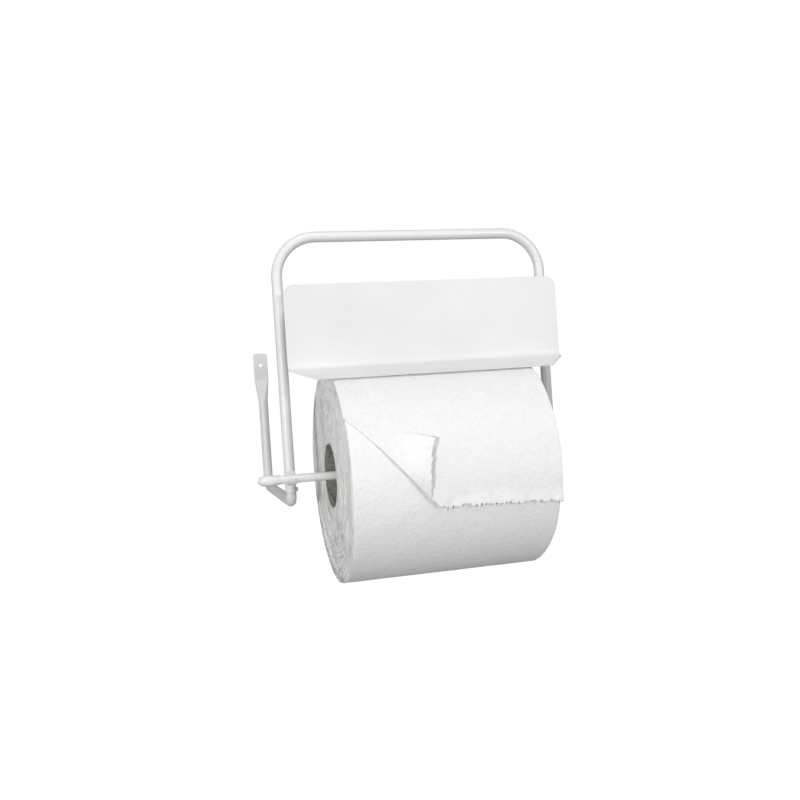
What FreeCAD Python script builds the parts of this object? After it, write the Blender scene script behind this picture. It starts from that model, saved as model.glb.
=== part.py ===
"""Wall-mounted paper towel holder: a white steel tube frame that carries a wide roll
of paper on a pull-out spindle, with a hinged sheet-metal tear flap above the roll.

Frame of the model, in millimetres: X runs along the spindle, -Y points away from the
wall, +Z is up.  The origin is midway between the two wall screws, on the wall plane.
"""
import FreeCAD
import Part
import math
import os

V = FreeCAD.Vector

# ---- driving dimensions ------------------------------------------------------------
TUBE_R = 6.35               # half-inch steel tube, outside radius
TUBE_WALL = 1.2
LEG_SPACING = 335.0         # centre to centre of the two legs and the two wall arms
REACH = 246.0               # wall plane to the plane of the upright hoop
SCREW_ABOVE_SPINDLE = 146.0
HOOP_ABOVE_SPINDLE = 285.0  # centreline of the top bar
HOOP_BEND = 48.0            # centreline radius of the hoop's two corners
LEG_BELOW_SPINDLE = 17.0    # lower end of each leg

ARM_BELOW_SPINDLE = 28.0    # centreline of the two horizontal arms
WALL_BEND = 20.0            # arm to wall upright
ELBOW_BEND = 8.5            # arm to plug
PLUG_LENGTH = 26.0          # reduced end that plugs into the leg
NECK = 1.0                  # wall of the step down to the plug
JOINT_GAP = 0.9             # seam between the leg and the elbow
FIT = 0.05                  # radial clearance of every running or plug-in fit

TAB_WIDTH = 20.0            # flattened upper end of each wall arm
TAB_THICKNESS = 2.6
TAB_ABOVE_SCREW = 17.0
TAB_BELOW_SCREW = 21.0
TAB_TRANSITION = 29.0       # length over which the round tube is pressed flat
TAB_CORNER = 2.0
TAB_SWELL = 0.2             # the tube is this much wider where the pressing starts
WALL_HOLE_R = 2.5

ROD_R = 5.0
ROD_RIGHT_END = 173.0
ROD_LEFT_END = 200.0        # the rod ends inside the grip
ROD_CHAMFER = 1.0
GRIP_TIP = 206.6            # bullet-shaped sleeve on the left end of the rod
GRIP_LENGTH = 25.0
GRIP_TIP_R = 1.5
GRIP_SHOULDER = 2.6         # distance from the tip, and radius there
GRIP_SHOULDER_R = 4.5
GRIP_BELLY = 11.0           # the same at its thickest
GRIP_R = 6.5
GRIP_MOUTH_R = 5.8
HOOK_WIDTH = 10.0
HOOK_THICKNESS = 2.1
HOOK_BACK_HEIGHT = 9.0      # how far the hook's back runs above the spindle axis
HOOK_FRONT_HEIGHT = 0.5
WELD_BITE = 0.1             # how far welded pieces sink into each other

ROLL_R = 126.5
ROLL_LEFT = -122.0
ROLL_RIGHT = 118.0
ROLL_EDGE = 1.2
CORE_IN_R = 38.0            # three-inch cardboard core
CORE_WALL = 3.0
CORE_GAP = 0.1
CORE_SETBACK = 0.5          # the core ends just inside the paper
TAIL_GAP = 0.2
TAIL_THICKNESS = 0.7
TAIL_LOW_ANGLE = -17.5      # torn edge, degrees above the level of the spindle
TAIL_TOP_ANGLE = 105.0
TAIL_FOLD_HEIGHT = 68.0     # where the folded corner starts on the left edge
TAIL_FOLD_X = -22.0         # where it ends on the torn edge

HUB_INSET = 22.0            # hub set back from the end of the roll
HUB_WIDTH = 20.0
HUB_RIM = 3.0
HUB_WEB = 3.0
HUB_BOSS_R = 11.0
HUB_RIBS = 6
HUB_RIB_THICKNESS = 2.4
HUB_RIB_SETBACK = 2.0       # ribs end short of the hub's faces
HUB_CORE_GAP = 0.15

PLATE_WIDTH = LEG_SPACING   # tear flap
PLATE_THICKNESS = 1.2
PLATE_STANDOFF = 44.5       # front face of the flap, ahead of the hoop plane
PLATE_TOP = 223.0           # above the spindle
PLATE_FOLD = 127.5          # where the flap's and the lip's faces would meet
PLATE_CORNER = 12.0
LIP_SLOPE = 22.7            # degrees below level
LIP_LENGTH = 36.3           # from the fold to the tear edge
LIP_BEND = 8.0
LIP_CHAMFER = 25.5          # how much the tear edge is cut back at each end

PIVOT_ABOVE_SPINDLE = 210.0
PIVOT_R = 3.0
PIVOT_LENGTH = 16.0
PIVOT_IN_LEG = 4.0
EAR_THICKNESS = 2.0
EAR_R = 9.0
EAR_FLANGE = 22.0
EAR_HEIGHT = 46.0
EAR_FOOT = 12.0             # depth of the ear's lower edge
EAR_SLOPE = 0.7             # where its slanting edge meets the round end, in radii
WASHER_THICKNESS = 0.8
WASHER_R = 6.5
RETAINER_R = 5.5
RETAINER_THICKNESS = 0.8
RETAINER_GAP = 0.01
SIDE_GAP = 0.15             # end play beside each washer

SCREW_R = 1.5
SCREW_LENGTH = 7.0
SCREW_HEAD_R = 2.8
SCREW_HEAD_HEIGHT = 2.3
SCREW_HEAD_ROUND = 1.4
SCREW_SLOT_WIDTH = 0.8
SCREW_SLOT_DEPTH = 1.1
SCREW_ABOVE_LEG_END = 3.4
OVERCUT = 1.0               # how far a cutting shape runs past what it cuts

# ---- places worked out from them ----------------------------------------------------
HALF = LEG_SPACING / 2.0
LEG_Y = -REACH
SPINDLE_Z = -SCREW_ABOVE_SPINDLE
SPINDLE_Y = LEG_Y - TUBE_R + WELD_BITE - HOOK_THICKNESS - ROD_R - FIT
ARM_Z = SPINDLE_Z - ARM_BELOW_SPINDLE
LEG_END_Z = SPINDLE_Z - LEG_BELOW_SPINDLE
HOOP_Z = SPINDLE_Z + HOOP_ABOVE_SPINDLE
BORE_R = TUBE_R - TUBE_WALL
PLUG_R = BORE_R - FIT
UPRIGHT_Y = -TUBE_R
PIVOT_Z = SPINDLE_Z + PIVOT_ABOVE_SPINDLE
PLATE_Y = LEG_Y - PLATE_STANDOFF
SIDES = (("left", -1.0), ("right", 1.0))
TINY = 1e-3


def fused(shapes):
    """Join solids into one and merge the faces that line up."""
    whole = shapes[0]
    for shape in shapes[1:]:
        whole = whole.fuse(shape)
    return whole.removeSplitter()


def bent_tube(points, radii):
    """The frame's tube through the points: straight runs joined by exact circular bends."""
    pieces = []

    def section(at, heading):
        outer = Part.Wire([Part.makeCircle(TUBE_R, at, heading)])
        return Part.Face(outer).cut(Part.Face(Part.Wire([Part.makeCircle(BORE_R, at, heading)])))

    start = points[0]
    for i, bend in enumerate(radii):
        corner = points[i + 1]
        before = (corner - points[i]).normalize()
        after = (points[i + 2] - corner).normalize()
        turn = before.getAngle(after)
        setback = bend * math.tan(turn / 2.0)
        bend_in = corner - before * setback
        axis = before.cross(after).normalize()
        centre = bend_in + axis.cross(before) * bend
        pieces.append(section(start, before).extrude(bend_in - start))
        pieces.append(section(bend_in, before).revolve(centre, axis, math.degrees(turn)))
        start = corner + after * setback
    last = points[-1] - start
    pieces.append(section(start, last).extrude(last))
    return fused(pieces)


def disc(radius, length, x, y, z):
    """A cylinder along +X that starts at x."""
    return Part.makeCylinder(radius, length, V(x, y, z), V(1, 0, 0))


def ring(outer, inner, length, x, y, z):
    return disc(outer, length, x, y, z).cut(disc(inner, length, x, y, z))


def block(x0, x1, y0, y1, z0, z1):
    return Part.makeBox(x1 - x0, y1 - y0, z1 - z0, V(x0, y0, z0))


def inner_wall(side):
    """The span along X of a cut through the inner wall of one leg, and its length."""
    return from_to(side * (HALF - TUBE_R - OVERCUT), side * HALF)


def from_to(x_a, x_b):
    """The lower end and the length of a span along X, whichever side it is on."""
    return min(x_a, x_b), abs(x_b - x_a)


def cross_edges(shape):
    """The edges that lie in a plane across the X axis."""
    return [e for e in shape.Edges if e.BoundBox.XLength < TINY]


# ---- frame --------------------------------------------------------------------------
def frame_hoop():
    """The upright hoop: two legs and a top bar bent from one tube."""
    points = [V(-HALF, LEG_Y, LEG_END_Z), V(-HALF, LEG_Y, HOOP_Z),
              V(HALF, LEG_Y, HOOP_Z), V(HALF, LEG_Y, LEG_END_Z)]
    hoop = bent_tube(points, [HOOP_BEND, HOOP_BEND])
    for _, side in SIDES:
        x, length = inner_wall(side)
        hoop = hoop.cut(disc(SCREW_R + FIT, length, x, LEG_Y, LEG_END_Z + SCREW_ABOVE_LEG_END))
        hoop = hoop.cut(disc(PIVOT_R + FIT, length, x, LEG_Y, PIVOT_Z))
    return hoop


def stadium(x, y_back, z, width, depth):
    """A flat-sided oval outline whose back lies at y_back."""
    r = depth / 2.0
    h = width / 2.0 - r
    y = y_back - r
    front = Part.makeLine(V(x - h, y - r, z), V(x + h, y - r, z))
    right = Part.Arc(V(x + h, y - r, z), V(x + h + r, y, z), V(x + h, y + r, z)).toShape()
    back = Part.makeLine(V(x + h, y + r, z), V(x - h, y + r, z))
    left = Part.Arc(V(x - h, y + r, z), V(x - h - r, y, z), V(x - h, y - r, z)).toShape()
    return Part.Wire([front, right, back, left])


def wall_tab(x):
    """The pressed-flat end of a wall arm, with its screw hole, flush with the wall."""
    low = -TAB_BELOW_SCREW
    through = TAB_THICKNESS + 2.0 * OVERCUT
    nearly_round = 2.0 * TUBE_R + TAB_SWELL
    pressed = Part.makeLoft([stadium(x, 0.0, low - TAB_TRANSITION, nearly_round, 2.0 * TUBE_R),
                             stadium(x, 0.0, low, TAB_WIDTH, TAB_THICKNESS)], True, True)
    flat = Part.Face(stadium(x, 0.0, low, TAB_WIDTH, TAB_THICKNESS))
    flat = flat.extrude(V(0, 0, TAB_BELOW_SCREW + TAB_ABOVE_SCREW))
    for side in (-1.0, 1.0):
        edge = x + side * TAB_WIDTH / 2.0
        corner = Part.makePolygon([V(edge, OVERCUT, TAB_ABOVE_SCREW + OVERCUT),
                                   V(edge - side * TAB_CORNER, OVERCUT, TAB_ABOVE_SCREW + OVERCUT),
                                   V(edge - side * TAB_CORNER, OVERCUT, TAB_ABOVE_SCREW),
                                   V(edge, OVERCUT, TAB_ABOVE_SCREW - TAB_CORNER),
                                   V(edge, OVERCUT, TAB_ABOVE_SCREW + OVERCUT)])
        flat = flat.cut(Part.Face(corner).extrude(V(0, -through, 0)))
    tab = pressed.fuse(flat)
    return tab.cut(Part.makeCylinder(WALL_HOLE_R, through, V(x, OVERCUT, 0), V(0, -1, 0)))


def wall_arm(side):
    """Upright, arm and elbow bent from one tube, with a reduced plug above the elbow."""
    x = side * HALF
    shoulder = LEG_END_Z - JOINT_GAP
    points = [V(x, UPRIGHT_Y, -TAB_BELOW_SCREW - TAB_TRANSITION), V(x, UPRIGHT_Y, ARM_Z),
              V(x, LEG_Y, ARM_Z), V(x, LEG_Y, shoulder)]
    arm = bent_tube(points, [WALL_BEND, ELBOW_BEND])
    reduced = PLUG_R - TUBE_WALL
    neck = Part.makeCylinder(TUBE_R, NECK, V(x, LEG_Y, shoulder - NECK))
    plug = Part.makeCylinder(PLUG_R, PLUG_LENGTH, V(x, LEG_Y, shoulder))
    bore = Part.makeCylinder(reduced, PLUG_LENGTH + NECK, V(x, LEG_Y, shoulder - NECK))
    plug = plug.fuse(neck).cut(bore)
    hole_x, length = inner_wall(side)
    plug = plug.cut(disc(SCREW_R + FIT, length, hole_x, LEG_Y, LEG_END_Z + SCREW_ABOVE_LEG_END))
    return fused([arm, wall_tab(x), plug])


def joint_screws():
    """One pan-head screw through the inner side of each leg into the plug."""
    screws = []
    z = LEG_END_Z + SCREW_ABOVE_LEG_END
    for _, side in SIDES:
        seat = side * (HALF - TUBE_R - FIT)
        x, length = from_to(seat, seat + side * SCREW_LENGTH)
        shank = disc(SCREW_R, length, x, LEG_Y, z)
        top = seat - side * SCREW_HEAD_HEIGHT
        x, length = from_to(seat, top)
        head = disc(SCREW_HEAD_R, length, x, LEG_Y, z)
        rim = [e for e in cross_edges(head) if abs(e.BoundBox.XMin - top) < TINY]
        head = head.makeFillet(SCREW_HEAD_ROUND, rim)
        x, length = from_to(top - side * OVERCUT, top + side * SCREW_SLOT_DEPTH)
        slot = block(x, x + length, LEG_Y - 2.0 * SCREW_HEAD_R, LEG_Y + 2.0 * SCREW_HEAD_R,
                     z - SCREW_SLOT_WIDTH / 2.0, z + SCREW_SLOT_WIDTH / 2.0)
        screws.append(shank.fuse(head).cut(slot))
    return Part.makeCompound(screws)


def spindle_hook(side):
    """A bent strip welded to the front of a leg; the spindle lies in its trough."""
    inner = ROD_R + FIT
    outer = inner + HOOK_THICKNESS
    y, z = SPINDLE_Y, SPINDLE_Z
    x = side * HALF - HOOK_WIDTH / 2.0
    trough = ring(outer, inner, HOOK_WIDTH, x, y, z)
    clear = 2.0 * outer
    trough = trough.cut(block(x - OVERCUT, x + HOOK_WIDTH + OVERCUT, y - clear, y + clear, z, z + clear))
    back = block(x, x + HOOK_WIDTH, y + inner, y + outer, z, z + HOOK_BACK_HEIGHT)
    lip = block(x, x + HOOK_WIDTH, y - outer, y - inner, z, z + HOOK_FRONT_HEIGHT)
    return fused([trough, back, lip])


# ---- spindle ------------------------------------------------------------------------
def spindle_rod():
    length = ROD_LEFT_END + ROD_RIGHT_END
    rod = disc(ROD_R, length, -ROD_LEFT_END, SPINDLE_Y, SPINDLE_Z)
    return rod.makeChamfer(ROD_CHAMFER, cross_edges(rod))


def spindle_grip():
    """Bullet-shaped plastic sleeve on the left end, by which the spindle is pulled out."""
    tip = -GRIP_TIP
    mouth = tip + GRIP_LENGTH
    flank = Part.BSplineCurve()
    flank.interpolate([V(tip, 0, GRIP_TIP_R), V(tip + GRIP_SHOULDER, 0, GRIP_SHOULDER_R),
                       V(tip + GRIP_BELLY, 0, GRIP_R), V(mouth, 0, GRIP_MOUTH_R)])
    straight = Part.makePolygon([V(mouth, 0, GRIP_MOUTH_R), V(mouth, 0, 0), V(tip, 0, 0),
                                 V(tip, 0, GRIP_TIP_R)])
    half = Part.Face(Part.Wire([flank.toShape()] + straight.Edges))
    grip = half.revolve(V(0, 0, 0), V(1, 0, 0), 360)
    grip.translate(V(0, SPINDLE_Y, SPINDLE_Z))
    return grip.cut(disc(ROD_R + FIT, GRIP_LENGTH, -ROD_LEFT_END - FIT, SPINDLE_Y, SPINDLE_Z))


# ---- roll ---------------------------------------------------------------------------
def core_hub(side):
    """A wheel-shaped plug that centres the cardboard core on the spindle."""
    end = ROLL_LEFT if side < 0 else ROLL_RIGHT
    x, width = from_to(end - side * HUB_INSET, end - side * (HUB_INSET + HUB_WIDTH))
    y, z = SPINDLE_Y, SPINDLE_Z
    rim_r = CORE_IN_R - HUB_CORE_GAP
    rim = ring(rim_r, rim_r - HUB_RIM, width, x, y, z)
    web_x = x + (width - HUB_WEB) / 2.0
    inside_rim = rim_r - HUB_RIM / 2.0
    hub = [rim, disc(inside_rim, HUB_WEB, web_x, y, z), disc(HUB_BOSS_R, width, x, y, z)]
    for i in range(HUB_RIBS):
        rib = block(x + HUB_RIB_SETBACK, x + width - HUB_RIB_SETBACK,
                    y - HUB_RIB_THICKNESS / 2.0, y + HUB_RIB_THICKNESS / 2.0,
                    z + HUB_BOSS_R - HUB_RIM / 2.0, z + inside_rim)
        rib.rotate(V(x, y, z), V(1, 0, 0), i * 360.0 / HUB_RIBS)
        hub.append(rib)
    return fused(hub).cut(disc(ROD_R + FIT, width + 2.0 * OVERCUT, x - OVERCUT, y, z))


def roll_core():
    length = ROLL_RIGHT - ROLL_LEFT - 2.0 * CORE_SETBACK
    return ring(CORE_IN_R + CORE_WALL, CORE_IN_R, length, ROLL_LEFT + CORE_SETBACK, SPINDLE_Y, SPINDLE_Z)


def paper_roll():
    """The wound paper as one thick ring."""
    width = ROLL_RIGHT - ROLL_LEFT
    body = disc(ROLL_R, width, ROLL_LEFT, SPINDLE_Y, SPINDLE_Z)
    body = body.makeFillet(ROLL_EDGE, cross_edges(body))
    bore_r = CORE_IN_R + CORE_WALL + CORE_GAP
    return body.cut(disc(bore_r, width + 2.0 * OVERCUT, ROLL_LEFT - OVERCUT, SPINDLE_Y, SPINDLE_Z))


def paper_tail():
    """The loose end of the paper, lying on the front of the roll, its corner folded away."""
    inner = ROLL_R + TAIL_GAP
    outer = inner + TAIL_THICKNESS
    width = ROLL_RIGHT - ROLL_LEFT
    shell = ring(outer, inner, width, ROLL_LEFT, SPINDLE_Y, SPINDLE_Z)
    far = 3.0 * ROLL_R
    points = [V(ROLL_LEFT - OVERCUT, SPINDLE_Y, SPINDLE_Z)]
    for angle in (TAIL_LOW_ANGLE, (TAIL_LOW_ANGLE + TAIL_TOP_ANGLE) / 2.0, TAIL_TOP_ANGLE):
        a = math.radians(angle)
        points.append(V(ROLL_LEFT - OVERCUT, SPINDLE_Y - far * math.cos(a), SPINDLE_Z + far * math.sin(a)))
    wedge = Part.Face(Part.makePolygon(points + points[:1])).extrude(V(width + 2.0 * OVERCUT, 0, 0))
    sheet = shell.common(wedge)
    torn_z = SPINDLE_Z + outer * math.sin(math.radians(TAIL_LOW_ANGLE))
    left = ROLL_LEFT - OVERCUT
    below = torn_z - OVERCUT
    fold = [V(left, SPINDLE_Y - far, below), V(TAIL_FOLD_X, SPINDLE_Y - far, below),
            V(TAIL_FOLD_X, SPINDLE_Y - far, torn_z), V(left, SPINDLE_Y - far, SPINDLE_Z + TAIL_FOLD_HEIGHT)]
    return sheet.cut(Part.Face(Part.makePolygon(fold + fold[:1])).extrude(V(0, far, 0)))


# ---- tear flap ----------------------------------------------------------------------
def flap_profile():
    """Side outline of the flap's sheet: the upright face, the bend and the sloping lip."""
    slope = math.radians(LIP_SLOPE)
    turn = math.pi / 2.0 - slope
    ahead = V(0, -math.cos(slope), -math.sin(slope))
    fold = V(0, PLATE_Y, SPINDLE_Z + PLATE_FOLD)
    setback = LIP_BEND * math.tan(turn / 2.0)
    centre = fold + V(0, -LIP_BEND, setback)
    outer_r = LIP_BEND + PLATE_THICKNESS
    back_y = PLATE_Y + PLATE_THICKNESS

    def on_bend(radius, angle):
        return centre + V(0, radius * math.cos(angle), -radius * math.sin(angle))

    top = SPINDLE_Z + PLATE_TOP
    tip = fold + ahead * LIP_LENGTH
    under = V(0, math.sin(slope), -math.cos(slope)) * PLATE_THICKNESS
    outline = [Part.makeLine(V(0, PLATE_Y, top), on_bend(LIP_BEND, 0)),
               Part.Arc(on_bend(LIP_BEND, 0), on_bend(LIP_BEND, turn / 2.0),
                        on_bend(LIP_BEND, turn)).toShape(),
               Part.makeLine(on_bend(LIP_BEND, turn), tip),
               Part.makeLine(tip, tip + under),
               Part.makeLine(tip + under, on_bend(outer_r, turn)),
               Part.Arc(on_bend(outer_r, turn), on_bend(outer_r, turn / 2.0), on_bend(outer_r, 0)).toShape(),
               Part.makeLine(on_bend(outer_r, 0), V(0, back_y, top)),
               Part.makeLine(V(0, back_y, top), V(0, PLATE_Y, top))]
    return Part.Face(Part.Wire(outline)), tip, on_bend(LIP_BEND, turn)


def tear_plate():
    profile, tip, lip_start = flap_profile()
    profile.translate(V(-PLATE_WIDTH / 2.0, 0, 0))
    sheet = profile.extrude(V(PLATE_WIDTH, 0, 0))
    top = SPINDLE_Z + PLATE_TOP
    corners = [e for e in cross_edges(sheet) if e.BoundBox.ZMin > top - TINY]
    sheet = sheet.makeFillet(PLATE_CORNER, corners)
    below = tip.z - LIP_LENGTH
    beyond = tip.y - OVERCUT
    for side in (-1.0, 1.0):
        edge = side * PLATE_WIDTH / 2.0
        outside = edge + side * OVERCUT
        cut_back = edge - side * LIP_CHAMFER
        cut = Part.makePolygon([V(outside, lip_start.y, below), V(edge, lip_start.y, below),
                                V(cut_back, tip.y, below), V(cut_back, beyond, below),
                                V(outside, beyond, below), V(outside, lip_start.y, below)])
        sheet = sheet.cut(Part.Face(cut).extrude(V(0, 0, 2.0 * LIP_LENGTH)))
    return sheet


def plate_ear(side):
    """Angle bracket welded behind the flap; its web swings on the pivot pin."""
    inner_face = HALF - TUBE_R - SIDE_GAP - WASHER_THICKNESS - SIDE_GAP
    web_x, thickness = from_to(side * inner_face, side * (inner_face - EAR_THICKNESS))
    flange_x, width = from_to(side * inner_face, side * (inner_face - EAR_FLANGE))
    front = PLATE_Y + PLATE_THICKNESS - WELD_BITE
    low = PIVOT_Z - EAR_HEIGHT + EAR_R
    flange = block(flange_x, flange_x + width, front, front + EAR_THICKNESS, low, PIVOT_Z + EAR_R)
    slant = EAR_R * EAR_SLOPE
    outline = [V(web_x, front, low), V(web_x, front + EAR_FOOT, low),
               V(web_x, LEG_Y + slant, PIVOT_Z - slant), V(web_x, LEG_Y, PIVOT_Z),
               V(web_x, LEG_Y, PIVOT_Z + EAR_R), V(web_x, front, PIVOT_Z + EAR_R)]
    web = Part.Face(Part.makePolygon(outline + outline[:1])).extrude(V(thickness, 0, 0))
    ear = fused([flange, web, disc(EAR_R, thickness, web_x, LEG_Y, PIVOT_Z)])
    return ear.cut(disc(PIVOT_R + FIT, thickness + 2.0 * OVERCUT, web_x - OVERCUT, LEG_Y, PIVOT_Z))


def pivot_stack():
    """The pin, the washer and the push-on retainer of each side, as three groups."""
    pins, washers, retainers = [], [], []
    for _, side in SIDES:
        outer_end = HALF - TUBE_R + PIVOT_IN_LEG
        x, length = from_to(side * outer_end, side * (outer_end - PIVOT_LENGTH))
        pins.append(disc(PIVOT_R, length, x, LEG_Y, PIVOT_Z))
        face = HALF - TUBE_R - SIDE_GAP
        x, length = from_to(side * face, side * (face - WASHER_THICKNESS))
        washers.append(ring(WASHER_R, PIVOT_R + FIT, length, x, LEG_Y, PIVOT_Z))
        face = face - WASHER_THICKNESS - SIDE_GAP - EAR_THICKNESS - SIDE_GAP
        x, length = from_to(side * face, side * (face - RETAINER_THICKNESS))
        retainers.append(ring(RETAINER_R, PIVOT_R + RETAINER_GAP, length, x, LEG_Y, PIVOT_Z))
    return Part.makeCompound(pins), Part.makeCompound(washers), Part.makeCompound(retainers)


def build():
    pins, washers, retainers = pivot_stack()
    nodes = {"frame_hoop": frame_hoop(), "joint_screws": joint_screws(),
             "pivot_pins": pins, "pivot_washers": washers, "pivot_retainers": retainers,
             "spindle_rod": spindle_rod(), "spindle_grip": spindle_grip(),
             "roll_core": roll_core(), "paper_roll": paper_roll(), "paper_tail": paper_tail(),
             "tear_plate": tear_plate()}
    for name, side in SIDES:
        nodes[name + "_wall_arm"] = wall_arm(side)
        nodes[name + "_spindle_hook"] = spindle_hook(side)
        nodes[name + "_core_hub"] = core_hub(side)
        nodes[name + "_plate_ear"] = plate_ear(side)
    return nodes


os.makedirs("parts", exist_ok=True)
for node_name, shape in build().items():
    shape.exportStep("parts/" + node_name + ".step")
    box = shape.BoundBox
    print("%-20s solids %d valid %s volume %9.0f  x %.1f..%.1f y %.1f..%.1f z %.1f..%.1f"
          % (node_name, len(shape.Solids), shape.isValid(), shape.Volume,
             box.XMin, box.XMax, box.YMin, box.YMax, box.ZMin, box.ZMax))
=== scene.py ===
"""Looks of the wall-mounted paper towel holder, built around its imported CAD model.

Everything is in metres, in the model's own frame: X along the spindle, -Y away from the
wall, +Z up.  The frame, the flap and the spindle keep their CAD shapes and get enamel,
plastic and steel.  The roll, its loose end and its core are modelled here in detail.
"""
import bmesh
import bpy
import math
from mathutils import Matrix, Vector, noise


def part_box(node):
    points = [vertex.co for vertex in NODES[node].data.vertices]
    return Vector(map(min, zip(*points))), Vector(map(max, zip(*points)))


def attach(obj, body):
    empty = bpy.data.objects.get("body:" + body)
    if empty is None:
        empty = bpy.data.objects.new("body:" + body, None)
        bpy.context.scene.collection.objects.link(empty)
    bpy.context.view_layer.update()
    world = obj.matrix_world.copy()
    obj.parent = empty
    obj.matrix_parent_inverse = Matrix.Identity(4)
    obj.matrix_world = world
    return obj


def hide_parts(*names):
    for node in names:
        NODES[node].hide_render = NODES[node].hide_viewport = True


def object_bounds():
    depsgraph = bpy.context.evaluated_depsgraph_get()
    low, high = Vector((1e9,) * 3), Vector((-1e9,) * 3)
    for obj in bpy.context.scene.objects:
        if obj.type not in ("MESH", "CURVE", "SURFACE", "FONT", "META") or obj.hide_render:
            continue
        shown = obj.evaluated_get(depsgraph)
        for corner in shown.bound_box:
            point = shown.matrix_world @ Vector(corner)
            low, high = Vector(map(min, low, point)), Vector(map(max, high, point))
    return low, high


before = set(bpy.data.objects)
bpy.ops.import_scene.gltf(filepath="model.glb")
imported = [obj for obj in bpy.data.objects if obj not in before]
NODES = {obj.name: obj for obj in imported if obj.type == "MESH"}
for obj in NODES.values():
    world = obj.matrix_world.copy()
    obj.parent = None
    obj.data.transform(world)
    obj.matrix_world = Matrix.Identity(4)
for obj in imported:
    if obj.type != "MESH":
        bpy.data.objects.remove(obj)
cad_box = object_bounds()
MM = 0.001
FULL_TURN = 2.0 * math.pi

# ---- sizes and places, from the frame --------------------------------------------------
roll_low, roll_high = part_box("paper_roll")
core_low, core_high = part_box("roll_core")
LEFT, RIGHT = roll_low.x, roll_high.x
AXIS_Y = (roll_low.y + roll_high.y) / 2.0
AXIS_Z = (roll_low.z + roll_high.z) / 2.0
ROLL_R = (roll_high.z - roll_low.z) / 2.0
CORE_R = (core_high.z - core_low.z) / 2.0
CORE_WALL = 3.0 * MM

# the loose end, as if unrolled: x across, s upwards round the roll from the spindle's level
SHEET_TOP = math.radians(105.0) * ROLL_R
FOLD_A = Vector((LEFT, 73.0 * MM))              # where the fold leaves the left edge
FOLD_B = Vector((-34.5 * MM, -24.0 * MM))       # where it meets the torn edge
CORNER = Vector((-99.0 * MM, -24.4 * MM))       # the torn corner, before it was folded over
TORN_SLOPE = -0.0475                            # the torn edge falls towards the right
STEP_START = FOLD_B.x - 1.0 * MM                # and drops by a step between these two places
STEP_END = -24.0 * MM
TEAR_STEP = 8.6 * MM
TEAR_BOW = 4.2 * MM                             # on the folded corner it bows upwards instead
FOLD_R = 0.7 * MM
PAPER = 0.28 * MM

# how far the loose end stands off
RESTING = 0.28 * MM             # its middle over the roll's surface
LIFT_AT_A = 0.15 * MM           # the fold at its upper end,
LIFT_AT_B = 4.6 * MM            # how much more the fold lifts by its lower end,
FOLD_SPREAD = 17.0 * MM         # and how fast that dies away beside it
CURL_DEPTH = 11.0 * MM          # depth of the curl along the torn edge
FOLD_SETTLES = 9.0 * MM         # how fast the two layers close up beside the fold,
LAYER_GAP = 1.4 * PAPER         # and how close they come
OPEN_LIFT = 9.0 * MM            # the folded corner's torn edge over the sheet below,
OPEN_DEPTH = 24.0 * MM          # the depth of its curl,
OPEN_START = 14.0 * MM          # and its distance from the fold where it has risen
TIP_LIFT = 1.6 * MM             # the same for the corner's tip
TIP_REACH = 20.0 * MM

# the rest
BOARD_PITCH = 62.0 * MM         # the core's spiral seam advances this far in a turn
BORE_GAP = 0.1 * MM             # between the core and the paper wound on it
SKIN_DEPTH = 0.45 * MM          # the soft surface lies this far inside the CAD cylinder
END_STEP = 0.15 * MM            # the ends' rim is this much smaller than the outer layer
WELD_R = 0.9 * MM
WELD_RIPPLE = 1.5 * MM
AIM = Vector((0.0, AXIS_Y, AXIS_Z + 80.0 * MM))         # the lights look here
GLOW_BELOW, GLOW_ABOVE = 0.32, 0.28                     # strength of the ambient light


# ---- small helpers ----------------------------------------------------------------------
def clamp(value, low=0.0, high=1.0):
    return max(low, min(high, value))


def smooth(value, low, high):
    """0 below low, 1 above high, and a soft step between them."""
    t = clamp((value - low) / (high - low))
    return t * t * (3.0 - 2.0 * t)


def bump_at(value, centre, width):
    """A soft bump of height 1 about centre."""
    return math.exp(-((value - centre) / width) ** 2)


def add_mesh(name, verts, faces, material, body):
    """A new smooth piece that rides on a CAD body, in the finish it is given."""
    mesh = bpy.data.meshes.new(name)
    mesh.from_pydata(verts, [], faces)
    mesh.polygons.foreach_set("use_smooth", [True] * len(mesh.polygons))
    mesh.materials.append(material)
    mesh.update()
    piece = bpy.data.objects.new(name, mesh)
    bpy.context.scene.collection.objects.link(piece)
    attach(piece, body)
    return piece


def around(x, radius, angle):
    """The point at an angle above the level of the spindle, on the side away from the wall."""
    return Vector((x, AXIS_Y - radius * math.cos(angle), AXIS_Z + radius * math.sin(angle)))


def ring_noise(along, angle, fine_along, fine_round, shift=(0.0, 0.0)):
    """Noise that closes on itself round the roll, with its own fineness along and round it."""
    return noise.noise(Vector((along * fine_along, math.cos(angle) * fine_round + shift[0],
                               math.sin(angle) * fine_round + shift[1])))


def lathe_faces(rows, columns, flipped=False):
    """Faces of a closed ring of rows, each a closed ring of columns."""
    faces = []
    for row in range(rows):
        start, below = row * columns, (row + 1) % rows * columns
        for k in range(columns):
            following = (k + 1) % columns
            if flipped:
                faces.append((start + k, below + k, below + following, start + following))
            else:
                faces.append((start + k, start + following, below + following, below + k))
    return faces


# ---- materials --------------------------------------------------------------------------
RANGE_SOCKETS = ("From Min", "From Max", "To Min", "To Max")


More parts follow.
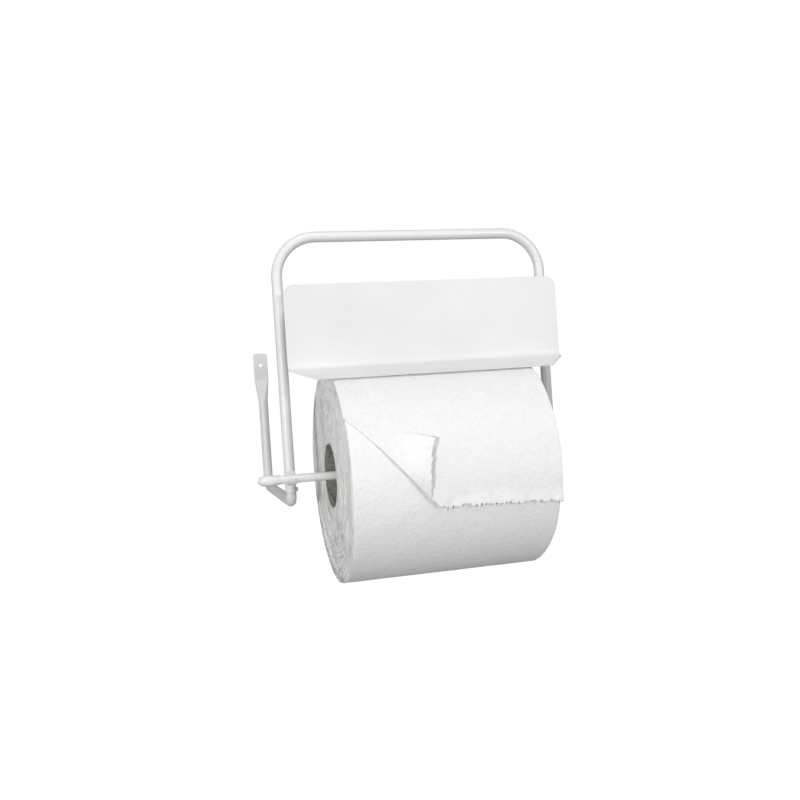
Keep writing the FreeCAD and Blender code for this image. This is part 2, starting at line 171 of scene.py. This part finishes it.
class Finish:
    """A node material: a principled shader with helpers for colour, roughness and bump.

    Its plain colour is what shows where a viewer reads no nodes.
    """

    def __init__(self, name, colour, roughness, **sockets):
        self.material = bpy.data.materials.new(name)
        self.material.use_nodes = True
        self.nodes = self.material.node_tree.nodes
        self.links = self.material.node_tree.links
        self.shader = self.nodes["Principled BSDF"]
        self.shader.inputs["Base Color"].default_value = (*colour, 1.0)
        self.shader.inputs["Roughness"].default_value = roughness
        for socket, value in sockets.items():
            self.shader.inputs[socket.replace("_", " ")].default_value = value
        self.place = self.nodes.new("ShaderNodeTexCoord").outputs["Object"]
        self.normal = None

    def mapped(self, scale=(1, 1, 1), place=None):
        node = self.nodes.new("ShaderNodeMapping")
        node.inputs["Scale"].default_value = scale
        self.links.new(place or self.place, node.inputs["Vector"])
        return node.outputs["Vector"]

    def noise(self, scale, detail=3.0, roughness=0.55, stretch=(1, 1, 1), place=None):
        node = self.nodes.new("ShaderNodeTexNoise")
        node.inputs["Scale"].default_value = scale
        node.inputs["Detail"].default_value = detail
        node.inputs["Roughness"].default_value = roughness
        self.links.new(self.mapped(stretch, place), node.inputs["Vector"])
        return node.outputs["Fac"]

    def cells(self, scale, stretch=(1, 1, 1), place=None):
        node = self.nodes.new("ShaderNodeTexVoronoi")
        node.inputs["Scale"].default_value = scale
        self.links.new(self.mapped(stretch, place), node.inputs["Vector"])
        return node.outputs["Distance"]

    def ramp(self, value, stops):
        """Colours along a value: stops are (position, colour)."""
        node = self.nodes.new("ShaderNodeValToRGB")
        ramp = node.color_ramp
        while len(ramp.elements) < len(stops):
            ramp.elements.new(0.5)
        for element, (position, colour) in zip(ramp.elements, stops):
            element.position = position
            element.color = (*colour, 1.0)
        self.links.new(value, node.inputs["Fac"])
        return node.outputs["Color"]

    def spread(self, value, low, high, out_low, out_high):
        """The value, carried from the range low to high to the range out_low to out_high."""
        node = self.nodes.new("ShaderNodeMapRange")
        for socket, number in zip(RANGE_SOCKETS, (low, high, out_low, out_high)):
            node.inputs[socket].default_value = number
        self.links.new(value, node.inputs["Value"])
        return node.outputs["Result"]

    def feed(self, node, values):
        """Gives a node's inputs plain numbers or links."""
        for socket, value in zip(node.inputs, values):
            if isinstance(value, (int, float)):
                socket.default_value = value
            else:
                self.links.new(value, socket)

    def math(self, operation, first, second=0.0):
        node = self.nodes.new("ShaderNodeMath")
        node.operation = operation
        self.feed(node, (first, second))
        return node.outputs["Value"]

    def colour(self, value):
        self.links.new(value, self.shader.inputs["Base Color"])

    def roughness(self, value):
        self.links.new(value, self.shader.inputs["Roughness"])

    def bump(self, height, strength, distance):
        node = self.nodes.new("ShaderNodeBump")
        node.inputs["Strength"].default_value = strength
        node.inputs["Distance"].default_value = distance
        self.links.new(height, node.inputs["Height"])
        if self.normal:
            self.links.new(self.normal, node.inputs["Normal"])
        self.normal = node.outputs["Normal"]
        self.links.new(self.normal, self.shader.inputs["Normal"])

    def polar(self):
        """x, the radius from the spindle axis, and y and z from that axis, as values."""
        split = self.nodes.new("ShaderNodeSeparateXYZ")
        self.links.new(self.place, split.inputs["Vector"])
        y = self.math("SUBTRACT", split.outputs["Y"], AXIS_Y)
        z = self.math("SUBTRACT", split.outputs["Z"], AXIS_Z)
        squares = self.math("ADD", self.math("MULTIPLY", y, y), self.math("MULTIPLY", z, z))
        return split.outputs["X"], self.math("SQRT", squares), y, z

    def vector(self, x, y, z):
        node = self.nodes.new("ShaderNodeCombineXYZ")
        self.feed(node, (x, y, z))
        return node.outputs["Vector"]


def enamel(name, colour, gloss):
    """White powder coat: a faint orange peel, uneven gloss and a breath of handling grime."""
    f = Finish(name, colour, gloss, Coat_Weight=0.10, Coat_Roughness=0.25)
    shade = f.noise(9.0, detail=4.0)
    dark = tuple(c * 0.93 for c in colour)
    f.colour(f.ramp(shade, [(0.3, dark), (0.62, colour)]))
    f.roughness(f.spread(f.noise(60.0, detail=5.0), 0.3, 0.7, gloss - 0.07, gloss + 0.10))
    f.bump(f.noise(420.0, detail=2.0), 0.035, 0.0006)
    f.bump(f.noise(70.0, detail=3.0), 0.03, 0.0012)
    return f.material


def vinyl(name):
    """Soft dipped vinyl, slightly dull."""
    f = Finish(name, (0.80, 0.80, 0.78), 0.48)
    f.colour(f.ramp(f.noise(35.0), [(0.3, (0.72, 0.72, 0.69)), (0.65, (0.81, 0.81, 0.79))]))
    f.roughness(f.spread(f.noise(120.0), 0.3, 0.7, 0.40, 0.60))
    f.bump(f.noise(900.0, detail=2.0), 0.15, 0.0004)
    return f.material


def moulded_plastic(name):
    """Plain grey-white mouldings with a fine spark-eroded grain."""
    f = Finish(name, (0.62, 0.62, 0.60), 0.6)
    f.colour(f.ramp(f.noise(25.0), [(0.3, (0.52, 0.52, 0.50)), (0.7, (0.64, 0.64, 0.62))]))
    f.roughness(f.spread(f.noise(80.0), 0.3, 0.7, 0.5, 0.7))
    f.bump(f.noise(1500.0, detail=1.0), 0.2, 0.0003)
    return f.material


def zinc(name):
    """Dull bright-zinc plating on turned steel."""
    f = Finish(name, (0.80, 0.80, 0.81), 0.45, Metallic=0.75)
    f.colour(f.ramp(f.noise(220.0), [(0.3, (0.70, 0.70, 0.71)), (0.7, (0.86, 0.86, 0.87))]))
    f.roughness(f.spread(f.noise(300.0), 0.3, 0.7, 0.36, 0.56))
    f.bump(f.noise(2500.0, stretch=(1, 0.15, 1)), 0.12, 0.0002)
    return f.material


def towel(name):
    """Soft creped paper: fine ridges across the web, shallow embossing and loose fibres."""
    f = Finish(name, (0.86, 0.86, 0.85), 0.95, Specular_IOR_Level=0.15)
    mottle = f.noise(230.0, detail=6.0)
    f.colour(f.ramp(mottle, [(0.32, (0.835, 0.835, 0.828)), (0.50, (0.865, 0.865, 0.858)),
                             (0.66, (0.885, 0.885, 0.880))]))
    f.roughness(f.spread(mottle, 0.3, 0.7, 0.88, 1.0))
    f.bump(f.noise(190.0, detail=4.0), 0.50, 0.0015)
    f.bump(f.noise(330.0, detail=4.0, stretch=(0.45, 1.6, 1.6)), 0.40, 0.0007)
    f.bump(f.cells(420.0), 0.25, 0.0004)
    return f.material


def wound_edge(name):
    """The end of a wound roll: hundreds of layer edges, greyer than the sheet itself, with painted shade low
    down and on the margin on the wall's side.
    """
    f = Finish(name, (0.5, 0.5, 0.49), 1.0, Specular_IOR_Level=0.05)
    _, radius, y, z = f.polar()
    across = f.math("DIVIDE", y, radius)
    upwards = f.math("DIVIDE", z, radius)

    def rings(reach):
        """Places that change fast with radius and slowly round the ring, over this reach."""
        return f.vector(radius, f.math("MULTIPLY", across, reach), f.math("MULTIPLY", upwards, reach))

    plies = f.noise(1300.0, detail=3.0, roughness=0.7, place=rings(0.004))
    layers = f.noise(420.0, detail=6.0, roughness=0.7, place=rings(0.016))
    broad = f.noise(60.0, detail=5.0, roughness=0.65, place=rings(0.050))
    fine = f.math("ADD", f.math("MULTIPLY", plies, 0.30), f.math("MULTIPLY", layers, 0.34))
    mixed = f.math("ADD", fine, f.math("MULTIPLY", broad, 0.36))
    # painted shade: the ends are darker towards the bottom and on their outer margin on the wall's side,
    # where the leg's shadow falls
    rim = f.spread(radius, 108.0 * MM, 122.0 * MM, 0.0, 1.0)
    painted_rim_shade = f.math("MULTIPLY", rim, f.spread(y, 0.0, 50.0 * MM, 0.0, 0.15))
    # painted shade: darker towards the bottom of the ends
    low = f.spread(z, -115.0 * MM, -10.0 * MM, 0.89, 1.0)
    mixed = f.math("MULTIPLY", mixed, f.math("SUBTRACT", low, painted_rim_shade))
    f.colour(f.ramp(mixed, [(0.34, (0.40, 0.40, 0.395)), (0.45, (0.76, 0.76, 0.75)),
                            (0.54, (0.94, 0.94, 0.93))]))
    f.bump(layers, 0.8, 0.0012)
    f.bump(f.noise(900.0, detail=2.0), 0.3, 0.0004)
    return f.material


def core_board(name):
    """Grey spiral-wound chipboard."""
    f = Finish(name, (0.25, 0.235, 0.215), 0.9, Specular_IOR_Level=0.2)
    x, _, y, z = f.polar()
    angle = f.math("ARCTAN2", z, y)
    turns = f.math("MULTIPLY", angle, 1.0 / FULL_TURN)
    spiral = f.math("ADD", f.math("MULTIPLY", x, 1.0 / BOARD_PITCH), turns)
    seam = f.math("PINGPONG", spiral, 0.5)
    fibres = f.noise(500.0, detail=5.0, stretch=(0.5, 1.0, 1.0))
    mixed = f.math("MULTIPLY", f.spread(seam, 0.0, 0.03, 0.6, 1.0), fibres)
    f.colour(f.ramp(mixed, [(0.25, (0.13, 0.12, 0.11)), (0.5, (0.25, 0.235, 0.215)),
                            (0.7, (0.33, 0.31, 0.285))]))
    f.bump(fibres, 0.3, 0.0005)
    return f.material


def stage_paint(name, colour, glow):
    """A nearly even backdrop that gives its own light."""
    f = Finish(name, colour, 0.9)
    f.colour(f.ramp(f.noise(2.0), [(0.3, tuple(c * 0.985 for c in colour)), (0.7, colour)]))
    f.shader.inputs["Emission Color"].default_value = (1.0, 1.0, 1.0, 1.0)
    f.shader.inputs["Emission Strength"].default_value = glow
    return f.material


TUBE_PAINT = enamel("tube_enamel", (0.83, 0.83, 0.825), 0.34)
# painted shade: the wall arms get a darker copy of the white enamel, for the shade that lies on them
SHADED_ARM_PAINT = enamel("arm_enamel_painted_shade", (0.78, 0.78, 0.775), 0.38)
SHEET_PAINT = enamel("sheet_enamel", (0.80, 0.80, 0.795), 0.50)
ROD_PAINT = enamel("rod_enamel", (0.90, 0.90, 0.89), 0.32)
VINYL = vinyl("grip_vinyl")
PLASTIC = moulded_plastic("hub_plastic")
NYLON = moulded_plastic("washer_nylon")
ZINC = zinc("zinc_plate")
TOWEL = towel("towel_paper")
EDGE = wound_edge("wound_paper_edge")
BOARD = core_board("core_board")

for node, finish in {"frame_hoop": TUBE_PAINT, "left_wall_arm": SHADED_ARM_PAINT, "right_wall_arm": SHADED_ARM_PAINT,
                     "left_spindle_hook": SHEET_PAINT, "right_spindle_hook": SHEET_PAINT,
                     "tear_plate": SHEET_PAINT, "left_plate_ear": SHEET_PAINT, "right_plate_ear": SHEET_PAINT,
                     "spindle_rod": ROD_PAINT, "spindle_grip": VINYL, "left_core_hub": PLASTIC,
                     "right_core_hub": PLASTIC, "pivot_washers": NYLON, "joint_screws": ZINC,
                     "pivot_pins": ZINC, "pivot_retainers": ZINC}.items():
    for holder in NODES[node].material_slots:
        holder.material = finish


# ---- the wound roll ---------------------------------------------------------------------
def surface_radius(x, angle):
    """The roll's outer surface, with soft hollows and swellings."""
    dents = 0.30 * ring_noise(x, angle, 38.0, 4.2) + 0.13 * ring_noise(x, angle, 130.0, 15.0)
    return ROLL_R - SKIN_DEPTH + dents * MM


# crevices between layers on the ends: radius, angle (degrees), half length along it and depth, in metres
CREVICES = [(0.110, -140, 0.010, 0.0060), (0.1025, -132, 0.012, 0.0070), (0.077, -100, 0.016, 0.0040),
            (0.105, -119, 0.012, 0.0050), (0.094, -80, 0.014, 0.0070), (0.096, -60, 0.009, 0.0070),
            (0.108, -97, 0.018, 0.0050), (0.120, -92, 0.020, 0.0060), (0.079, -128, 0.012, 0.0040),
            (0.117, -47, 0.020, 0.0040), (0.100, -33, 0.016, 0.0030), (0.084, -18, 0.018, 0.0024),
            (0.094, 40, 0.024, 0.0024), (0.073, 75, 0.020, 0.0024), (0.113, 128, 0.026, 0.0034),
            (0.060, -120, 0.020, 0.0024), (0.104, 196, 0.024, 0.0034)]


def end_dip(radius, angle, seed):
    """How far the end of the roll is set back from its plane, at a radius and angle."""
    layers = ring_noise(radius, angle, 620.0, 1.3, (0.0, seed))
    wander = ring_noise(radius, angle, 95.0, 2.0, (seed, 0.0))
    dip = (0.75 + 0.45 * layers + 0.7 * wander) * MM
    for place, degrees, length, depth in CREVICES:
        away = math.remainder(angle - math.radians(degrees + seed * 3.0), FULL_TURN) * radius
        dip += 2.0 * depth * bump_at(radius, place + 0.12 * away, 1.6 * MM) * bump_at(away, 0.0, length)
    # the roll has stood on this part of its rim, which is crushed and ragged
    crushed = bump_at(math.remainder(angle - math.radians(-98.0 - seed), FULL_TURN), 0.0, 0.62)
    crushed *= smooth(radius, 78.0 * MM, 104.0 * MM)
    rough = ring_noise(radius, angle, 330.0, 22.0, (0.0, seed))
    dip += crushed * (1.2 + 8.0 * max(rough, 0.0)) * MM
    rim = 1.3 * MM * smooth(radius, ROLL_R - 6.0 * MM, ROLL_R) ** 2
    return max(dip, 0.0) + rim


def wound_paper():
    """One closed skin: the outer face, the right end from rim to bore, the left from bore to rim.

    The row of faces between the two ends is the bore's wall.
    """
    around_steps, across_steps, rings = 320, 84, 80
    bore_r = CORE_R + BORE_GAP
    rows = [("face", LEFT + (RIGHT - LEFT) * i / across_steps) for i in range(1, across_steps)]
    first_ring = len(rows)
    rows += [("right", 1.0 - i / rings) for i in range(rings + 1)]
    rows += [("left", i / rings) for i in range(rings + 1)]
    verts = []
    for part, place in rows:
        for k in range(around_steps):
            angle = FULL_TURN * k / around_steps
            if part == "face":
                verts.append(around(place, surface_radius(place, angle), angle))
                continue
            end, inward, seed = (LEFT, 1.0, 0.0) if part == "left" else (RIGHT, -1.0, 11.0)
            outer = surface_radius(end, angle) - END_STEP
            radius = bore_r + (outer - bore_r) * place
            verts.append(around(end + inward * end_dip(radius, angle, seed), radius, angle))
    faces = lathe_faces(len(rows), around_steps)
    roll = add_mesh("wound_paper", verts, faces, TOWEL, "roll")
    roll.data.materials.append(EDGE)
    for polygon in roll.data.polygons:
        if first_ring <= polygon.index // around_steps < len(rows) - 1:
            polygon.material_index = 1
    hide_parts("paper_roll")


# ---- the loose end ----------------------------------------------------------------------
FOLD_ALONG = (FOLD_B - FOLD_A).normalized()
FOLD_ACROSS = Vector((FOLD_ALONG.y, -FOLD_ALONG.x))     # points towards the folded corner


def tear_line(x):
    """Height of the torn edge across the sheet, without its rags."""
    if x > STEP_START:
        step = -TEAR_STEP * smooth(x, STEP_START, STEP_END)
        return FOLD_B.y + TORN_SLOPE * (x - FOLD_B.x) + step
    t = clamp((x - CORNER.x) / (FOLD_B.x - CORNER.x))
    return CORNER.y + (FOLD_B.y - CORNER.y) * t + TEAR_BOW * math.sin(math.pi * t)


def torn_edge(x):
    """Height of the ragged torn edge across the sheet."""
    waves = noise.noise(Vector((x * 150.0, 3.1, 0.0)))
    teeth = noise.noise(Vector((x * 560.0, 7.7, 0.0)))
    rag = (1.5 * waves + 3.3 * teeth) * (0.6 + 0.4 * smooth(x, FOLD_B.x, STEP_END))
    nicks = -1.8 * bump_at(x, -14.0 * MM, 2.0 * MM) + 1.4 * bump_at(x, 5.0 * MM, 3.5 * MM)
    return tear_line(x) + (rag + nicks) * MM


def sheet_low(x):
    """Where the sheet ends below: its slanting left edge, then the torn edge."""
    if x >= CORNER.x:
        return torn_edge(x)
    t = (x - FOLD_A.x) / (CORNER.x - FOLD_A.x)
    top = FOLD_A.y - 3.0 * MM
    return top + (torn_edge(CORNER.x) - top) * t


def sheet_lift(x, s):
    """How far the loose end stands off the roll, apart from the folded corner."""
    from_a = Vector((x, s)) - FOLD_A
    beyond = from_a.dot(FOLD_ACROSS)
    down = clamp(from_a.dot(FOLD_ALONG) / (FOLD_B - FOLD_A).length, 0.0, 1.1)
    at_fold = (LIFT_AT_A + LIFT_AT_B * down ** 2) * math.exp(-abs(beyond) / FOLD_SPREAD)
    broad = noise.noise(Vector((x * 33.0, 0.0, 5.0)))
    fine = noise.noise(Vector((x * 110.0, 0.0, 8.0)))
    curl = (3.5 + 2.0 * broad + 1.4 * fine) * MM * smooth(x, -60.0 * MM, -20.0 * MM)
    at_tear = curl * bump_at(s, tear_line(x) - 1.5 * MM, CURL_DEPTH)
    slack = 1.3 * MM * smooth(x, 60.0 * MM, RIGHT) * bump_at(math.degrees(s / ROLL_R), 51.0, 6.5)
    ripple = 0.16 * MM * noise.noise(Vector((x * 60.0, s * 60.0, 9.0)))
    tucked = 0.55 * MM * smooth(s, SHEET_TOP - 22.0 * MM, SHEET_TOP)
    return RESTING + ripple + slack + max(at_fold, at_tear) - tucked


def place_on_roll(x, s, lift):
    """The point this far above the roll's surface, for a place on the unrolled sheet."""
    angle = s / ROLL_R
    return around(x, surface_radius(x, angle) + lift, angle)


def folded_point(flat):
    """Carries a point of the flat sheet to its place, round the fold if it is beyond it."""
    beyond = (flat - FOLD_A).dot(FOLD_ACROSS)
    if beyond <= 0.0:
        return place_on_roll(flat.x, flat.y, sheet_lift(flat.x, flat.y))
    on_fold = flat - FOLD_ACROSS * beyond
    wrap = math.pi * FOLD_R
    if beyond < wrap:
        turn = beyond / FOLD_R
        at = on_fold + FOLD_ACROSS * FOLD_R * math.sin(turn)
        lift = sheet_lift(on_fold.x, on_fold.y) + FOLD_R * (1.0 - math.cos(turn))
        return place_on_roll(at.x, at.y, lift)
    back = beyond - wrap
    at = on_fold - FOLD_ACROSS * back
    from_tear = max(flat.y - tear_line(flat.x), 0.0)
    open_edge = OPEN_LIFT * bump_at(from_tear, 0.0, OPEN_DEPTH) * smooth(back, 0.0, OPEN_START) ** 0.5
    tip = TIP_LIFT * bump_at((flat - CORNER).length, 0.0, TIP_REACH)
    round_fold = 2.0 * FOLD_R * math.exp(-back / FOLD_SETTLES)
    lift = sheet_lift(at.x, at.y) + max(round_fold, LAYER_GAP) + open_edge + tip
    return place_on_roll(at.x, at.y, lift)


def loose_end():
    """The loose end of the paper, cut on a grid, creased along the fold and laid on the roll."""
    columns, rows = 340, 100
    mesh = bmesh.new()
    grid = []
    for i in range(columns + 1):
        x = LEFT + (RIGHT - LEFT) * i / columns
        drop = sheet_low(x) - SHEET_TOP
        # the rows crowd towards the torn edge
        shares = [1.0 - (1.0 - j / rows) ** 1.25 for j in range(rows + 1)]
        grid.append([mesh.verts.new((x, SHEET_TOP + drop * share, 0.0)) for share in shares])
    for i in range(columns):
        for j in range(rows):
            mesh.faces.new((grid[i][j], grid[i][j + 1], grid[i + 1][j + 1], grid[i + 1][j]))
    # cuts along the fold, so that it can turn in four steps
    across = Vector((FOLD_ACROSS.x, FOLD_ACROSS.y, 0.0))
    for share in (0.0, 0.25, 0.5, 0.75, 1.0):
        start = Vector((FOLD_A.x, FOLD_A.y, 0.0)) + across * (share * math.pi * FOLD_R)
        everything = list(mesh.verts) + list(mesh.edges) + list(mesh.faces)
        bmesh.ops.bisect_plane(mesh, geom=everything, plane_co=start, plane_no=across, dist=1e-6)
    area = sum(face.calc_area() for face in mesh.faces)
    for vert in mesh.verts:
        vert.co = folded_point(Vector((vert.co.x, vert.co.y)))
    data = bpy.data.meshes.new("loose_end")
    mesh.to_mesh(data)
    mesh.free()
    data.polygons.foreach_set("use_smooth", [True] * len(data.polygons))
    data.materials.append(TOWEL)
    sheet = bpy.data.objects.new("loose_end", data)
    bpy.context.scene.collection.objects.link(sheet)
    skin = sheet.modifiers.new("paper", "SOLIDIFY")
    skin.thickness = PAPER
    skin.offset = 0.0
    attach(sheet, "roll")
    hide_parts("paper_tail")
    length = SHEET_TOP - torn_edge(RIGHT)


# ---- the core ---------------------------------------------------------------------------
def board_tube():
    """The core: a wound board tube with uneven cut ends and a spiral seam."""
    around_steps, along_steps = 128, 40
    rows = [("bore", i / along_steps) for i in range(along_steps + 1)]
    rows += [("skin", 1.0 - i / along_steps) for i in range(along_steps + 1)]
    verts = []
    for part, t in rows:
        for k in range(around_steps):
            angle = FULL_TURN * k / around_steps
            x = core_low.x + (core_high.x - core_low.x) * t
            if t in (0.0, 1.0):
                rough = noise.noise(Vector((math.cos(angle) * 6.0, math.sin(angle) * 6.0, t * 5.0)))
                x += (0.5 - t) * 2.0 * MM * (0.35 + 0.5 * rough)
            turn = (x / BOARD_PITCH + angle / FULL_TURN) % 1.0
            seam = 0.18 * MM * bump_at(turn, 0.5, 0.03)
            verts.append(around(x, CORE_R - CORE_WALL + seam if part == "bore" else CORE_R, angle))
    faces = lathe_faces(len(rows), around_steps, flipped=True)
    tube = add_mesh("board_core", verts, faces, BOARD, "roll")
    tube.data.materials.append(EDGE)
    # the cut ends are as pale as the paper round them
    for polygon in tube.data.polygons:
        if polygon.index // around_steps in (along_steps, len(rows) - 1):
            polygon.material_index = 1
    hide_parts("roll_core")


# ---- welds ------------------------------------------------------------------------------
def weld_bead(name, start, end, body):
    """A painted weld: a short tapering bead with the ripples of its passes."""
    steps, sides = 40, 14
    axis = (end - start).normalized()
    side = axis.orthogonal().normalized()
    up = axis.cross(side)
    length = (end - start).length
    verts = []
    for i in range(steps + 1):
        t = i / steps
        taper = math.sqrt(max(1.0 - (2.0 * t - 1.0) ** 4, 0.0))
        ripple = 1.0 + 0.09 * math.cos(FULL_TURN * t * length / WELD_RIPPLE)
        radius = max(WELD_R * taper * ripple, 0.02 * MM)
        for k in range(sides):
            angle = FULL_TURN * k / sides
            outwards = side * math.cos(angle) + up * math.sin(angle)
            verts.append(start + axis * (length * t) + outwards * radius)
    caps = [tuple(range(sides)), tuple(reversed(range(steps * sides, (steps + 1) * sides)))]
    walls = lathe_faces(steps + 1, sides, flipped=True)[:steps * sides]
    add_mesh(name, verts, caps + walls, SHEET_PAINT, body)


def welds():
    """Beads down both sides of each spindle hook, and along both ends of each ear's flange."""
    for side in ("left", "right"):
        low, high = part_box(side + "_spindle_hook")
        for edge, x in (("inner", low.x), ("outer", high.x)):
            weld_bead(f"{side}_hook_weld_{edge}", Vector((x, high.y, high.z - 1.0 * MM)),
                      Vector((x, high.y, AXIS_Z - 3.0 * MM)), "frame")
        low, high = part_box(side + "_plate_ear")
        y = low.y + 0.4 * MM
        for number, z in enumerate((low.z, high.z)):
            weld_bead(f"{side}_ear_weld_{number}", Vector((low.x + 2.0 * MM, y, z)),
                      Vector((high.x - 2.0 * MM, y, z)), "tear_flap")


wound_paper()
loose_end()
board_tube()
welds()


# ---- stage, light and camera ------------------------------------------------------------
def stage():
    """A pale floor well below the object and a pale dome round it, both seen by the camera only."""
    floor_drop, floor_size, dome_radius = 0.42, 30.0, 14.0
    bpy.ops.mesh.primitive_plane_add(size=floor_size, location=(0.0, 0.0, cad_box[0][2] - floor_drop))
    floor = bpy.context.object
    floor.name = "floor"
    floor.data.materials.append(stage_paint("pale_floor", (0.50, 0.50, 0.50), 0.86))
    bpy.ops.mesh.primitive_uv_sphere_add(radius=dome_radius, segments=48, ring_count=24)
    dome = bpy.context.object
    dome.name = "pale_surround"
    dome.data.materials.append(stage_paint("surround", (0.0, 0.0, 0.0), 1.0))
    for backdrop in (floor, dome):
        for ray in ("visible_diffuse", "visible_glossy", "visible_transmission", "visible_shadow"):
            setattr(backdrop, ray, False)


def area_light(name, heading, elevation, distance, size, power):
    """A round soft light that looks at the roll from a heading and elevation, left being negative."""
    data = bpy.data.lights.new(name, "AREA")
    data.shape = "DISK"
    data.size = size
    data.energy = power
    lamp = bpy.data.objects.new(name, data)
    bpy.context.scene.collection.objects.link(lamp)
    turn, rise = math.radians(heading), math.radians(elevation)
    back = Vector((math.sin(turn) * math.cos(rise), -math.cos(turn) * math.cos(rise), math.sin(rise)))
    lamp.location = AIM + back * distance
    lamp.rotation_euler = (-back).to_track_quat("-Z", "Y").to_euler()


def lights():
    """A small key light from the left, larger ones round it, and an even ambient light."""
    area_light("key", -35.0, 1.0, 2.2, 0.20, 19.0)
    area_light("front", 26.0, 15.0, 2.4, 0.4, 13.0)
    area_light("side", -74.0, 4.0, 2.4, 1.5, 7.5)
    area_light("top", -5.0, 56.0, 2.0, 0.9, 11.5)
    world = bpy.data.worlds.new("soft_ambient")
    world.use_nodes = True
    nodes, links = world.node_tree.nodes, world.node_tree.links
    split = nodes.new("ShaderNodeSeparateXYZ")
    links.new(nodes.new("ShaderNodeTexCoord").outputs["Generated"], split.inputs["Vector"])
    glow = nodes.new("ShaderNodeMapRange")
    for socket, number in zip(RANGE_SOCKETS, (-0.6, 0.6, GLOW_BELOW, GLOW_ABOVE)):
        glow.inputs[socket].default_value = number
    links.new(split.outputs["Z"], glow.inputs["Value"])
    links.new(glow.outputs["Result"], nodes["Background"].inputs["Strength"])
    nodes["Background"].inputs["Color"].default_value = (1.0, 1.0, 1.0, 1.0)
    bpy.context.scene.world = world


def camera():
    """A camera left of the middle that looks to the right, almost level and slightly rolled."""
    place = Vector((-0.3057, -1.3088, -0.0588))
    heading, down, roll = math.radians(14.70), math.radians(0.19), math.radians(-3.81)
    data = bpy.data.cameras.new("camera")
    data.lens = 40.42
    data.sensor_width = 36.0
    eye = bpy.data.objects.new("camera", data)
    bpy.context.scene.collection.objects.link(eye)
    turn = (Matrix.Rotation(-heading, 4, "Z") @ Matrix.Rotation(math.pi / 2.0 - down, 4, "X")
            @ Matrix.Rotation(roll, 4, "Z"))
    eye.matrix_world = Matrix.Translation(place) @ turn
    bpy.context.scene.camera = eye


stage()
lights()
camera()
bpy.context.scene.view_settings.view_transform = "Standard"
